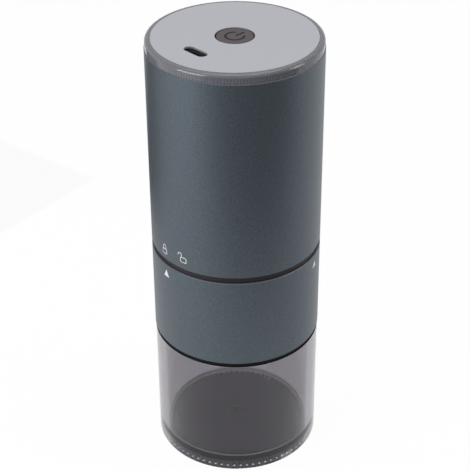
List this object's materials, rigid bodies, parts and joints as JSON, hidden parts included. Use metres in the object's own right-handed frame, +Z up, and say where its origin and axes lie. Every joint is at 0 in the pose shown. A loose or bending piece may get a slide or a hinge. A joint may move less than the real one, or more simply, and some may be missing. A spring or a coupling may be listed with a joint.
{
  "type": "cordless spice grinder",
  "caption": "Cylindrical rechargeable burr grinder: clear powder cup, conical burr mill under a hopper, and a motor section that twists off a three-lug bayonet.",
  "frame": {"origin": "centre of the foot pad's underside, where the grinder stands on the table", "axes": "+Z up along the grinder's axis, -Y towards the front, +X to the right; azimuths in the part's source are measured from -Y towards +X"},
  "size_m": [0.07, 0.07, 0.1893],
  "materials": {
    "sleeve_paint": "satin metallic, dark blue-grey",
    "band_plastic": "fine matte, brown-black",
    "smoked_plastic": "clear, smoke-grey, polished",
    "ring_plastic": "clear, smoke-grey, polished",
    "top_metal": "satin, bead-blasted",
    "button_plastic": "satin, brown-grey",
    "inner_plastic": "moulded, dark grey",
    "foot_rubber": "matte",
    "seal_rubber": "matte",
    "gasket_silicone": "matte, grey",
    "burr_steel": "ground",
    "shaft_steel": "turned",
    "fastener_steel": "zinc plated",
    "die_cast": "die cast",
    "bronze": "sintered",
    "brass": "turned",
    "acetal": "moulded, natural",
    "motor_steel": "plated, drawn",
    "cell_wrap": "shrink sleeve, blue",
    "board_laminate": "solder mask, green",
    "led_lens": "clear"
  },
  "bodies": {
    "cup": {"powder_cup": "smoked_plastic", "foot_pad": "foot_rubber", "cup_seal": "seal_rubber"},
    "mill": {"mill_sleeve": "sleeve_paint", "mill_frame": "band_plastic", "mill_collar": "band_plastic", "collar_screws": "fastener_steel", "hopper_funnel": "inner_plastic", "bearing_bridge": "die_cast", "bearing_bush": "bronze", "ring_burr": "burr_steel", "neck_gasket": "gasket_silicone"},
    "drive_line": {"drive_shaft": "shaft_steel", "thrust_washer": "shaft_steel", "burr_spring": "shaft_steel", "lower_jaw": "acetal", "shaft_screw": "fastener_steel"},
    "inner_burr": {"cone_burr": "burr_steel"},
    "dial": {"grind_dial": "inner_plastic", "dial_insert": "brass"},
    "motor_section": {"motor_sleeve": "sleeve_paint", "motor_base": "band_plastic", "base_screws": "fastener_steel", "gearbox_housing": "die_cast", "gearbox_lid": "die_cast", "gearbox_screws": "fastener_steel", "motor_screws": "fastener_steel", "motor_can": "motor_steel", "motor_end_cap": "inner_plastic", "motor_terminals": "brass", "motor_straps": "fastener_steel", "chassis": "inner_plastic", "battery_cells": "cell_wrap", "cell_link": "fastener_steel", "cell_tabs": "fastener_steel", "cell_clip": "inner_plastic", "control_board": "board_laminate", "board_screws": "fastener_steel", "charging_socket": "fastener_steel", "socket_tongue": "inner_plastic", "tact_switch": "inner_plastic", "status_leds": "led_lens", "light_ring": "ring_plastic", "top_frame": "inner_plastic", "top_plate": "top_metal"},
    "output_stage": {"output_carrier": "shaft_steel", "output_planet_pins": "shaft_steel", "upper_jaw": "acetal"},
    "output_gear_1": {"output_planet_1": "acetal"},
    "output_gear_2": {"output_planet_2": "acetal"},
    "output_gear_3": {"output_planet_3": "acetal"},
    "middle_stage": {"middle_carrier": "shaft_steel", "middle_planet_pins": "shaft_steel"},
    "middle_gear_1": {"middle_planet_1": "acetal"},
    "middle_gear_2": {"middle_planet_2": "acetal"},
    "middle_gear_3": {"middle_planet_3": "acetal"},
    "rotor": {"motor_shaft": "shaft_steel", "motor_pinion": "brass"},
    "button": {"power_button": "button_plastic", "switch_stem": "acetal"}
  },
  "joints": [
    {"name": "cup_release", "type": "slide", "parent": "cup", "child": "mill", "axis": [0, 0, 1], "range_m": [0, 0.06]},
    {"name": "motor_twist", "type": "hinge", "parent": "mill", "child": "motor_section", "pos_m": [0, 0, 0.1], "axis": [0, 0, 1], "range_deg": [-16.5, 0]},
    {"name": "shaft_spin", "type": "hinge", "parent": "mill", "child": "drive_line", "pos_m": [0, 0, 0.09], "axis": [0, 0, 1], "continuous": true},
    {"name": "dial_turn", "type": "hinge", "parent": "inner_burr", "child": "dial", "pos_m": [0, 0, 0.06], "axis": [0, 0, -1], "range_deg": [0, 360]},
    {"name": "burr_set", "type": "slide", "parent": "drive_line", "child": "inner_burr", "axis": [0, 0, -1], "range_m": [0, 0.001], "deforming": ["burr_spring"]},
    {"name": "output_spin", "type": "hinge", "parent": "motor_section", "child": "output_stage", "pos_m": [0, 0, 0.115], "axis": [0, 0, 1], "continuous": true},
    {"name": "output_gear_1_spin", "type": "hinge", "parent": "output_stage", "child": "output_gear_1", "pos_m": [0.0075, 0, 0.12], "axis": [0, 0, 1], "continuous": true},
    {"name": "output_gear_2_spin", "type": "hinge", "parent": "output_stage", "child": "output_gear_2", "pos_m": [-0.00375, 0.0065, 0.12], "axis": [0, 0, 1], "continuous": true},
    {"name": "output_gear_3_spin", "type": "hinge", "parent": "output_stage", "child": "output_gear_3", "pos_m": [-0.00375, -0.0065, 0.12], "axis": [0, 0, 1], "continuous": true},
    {"name": "middle_spin", "type": "hinge", "parent": "motor_section", "child": "middle_stage", "pos_m": [0, 0, 0.12], "axis": [0, 0, 1], "continuous": true},
    {"name": "middle_gear_1_spin", "type": "hinge", "parent": "middle_stage", "child": "middle_gear_1", "pos_m": [0.0075, 0, 0.129], "axis": [0, 0, 1], "continuous": true},
    {"name": "middle_gear_2_spin", "type": "hinge", "parent": "middle_stage", "child": "middle_gear_2", "pos_m": [-0.00375, 0.0065, 0.129], "axis": [0, 0, 1], "continuous": true},
    {"name": "middle_gear_3_spin", "type": "hinge", "parent": "middle_stage", "child": "middle_gear_3", "pos_m": [-0.00375, -0.0065, 0.129], "axis": [0, 0, 1], "continuous": true},
    {"name": "rotor_spin", "type": "hinge", "parent": "motor_section", "child": "rotor", "pos_m": [0, 0, 0.15], "axis": [0, 0, 1], "continuous": true},
    {"name": "button_press", "type": "slide", "parent": "motor_section", "child": "button", "axis": [0, 0, -1], "range_m": [0, 0.0008], "stiffness_N_per_m": 2500, "springref_m": -0.0008}
  ],
  "couplings": [
    {"joint": "dial_turn", "follows": "burr_set", "rad_per_m": 6283.2},
    {"joint": "output_spin", "follows": "shaft_spin", "ratio": 1},
    {"joint": "output_gear_1_spin", "follows": "shaft_spin", "ratio": -2.6667},
    {"joint": "output_gear_2_spin", "follows": "shaft_spin", "ratio": -2.6667},
    {"joint": "output_gear_3_spin", "follows": "shaft_spin", "ratio": -2.6667},
    {"joint": "middle_spin", "follows": "shaft_spin", "ratio": 5},
    {"joint": "middle_gear_1_spin", "follows": "shaft_spin", "ratio": -13.333},
    {"joint": "middle_gear_2_spin", "follows": "shaft_spin", "ratio": -13.333},
    {"joint": "middle_gear_3_spin", "follows": "shaft_spin", "ratio": -13.333},
    {"joint": "rotor_spin", "follows": "shaft_spin", "ratio": 25}
  ]
}
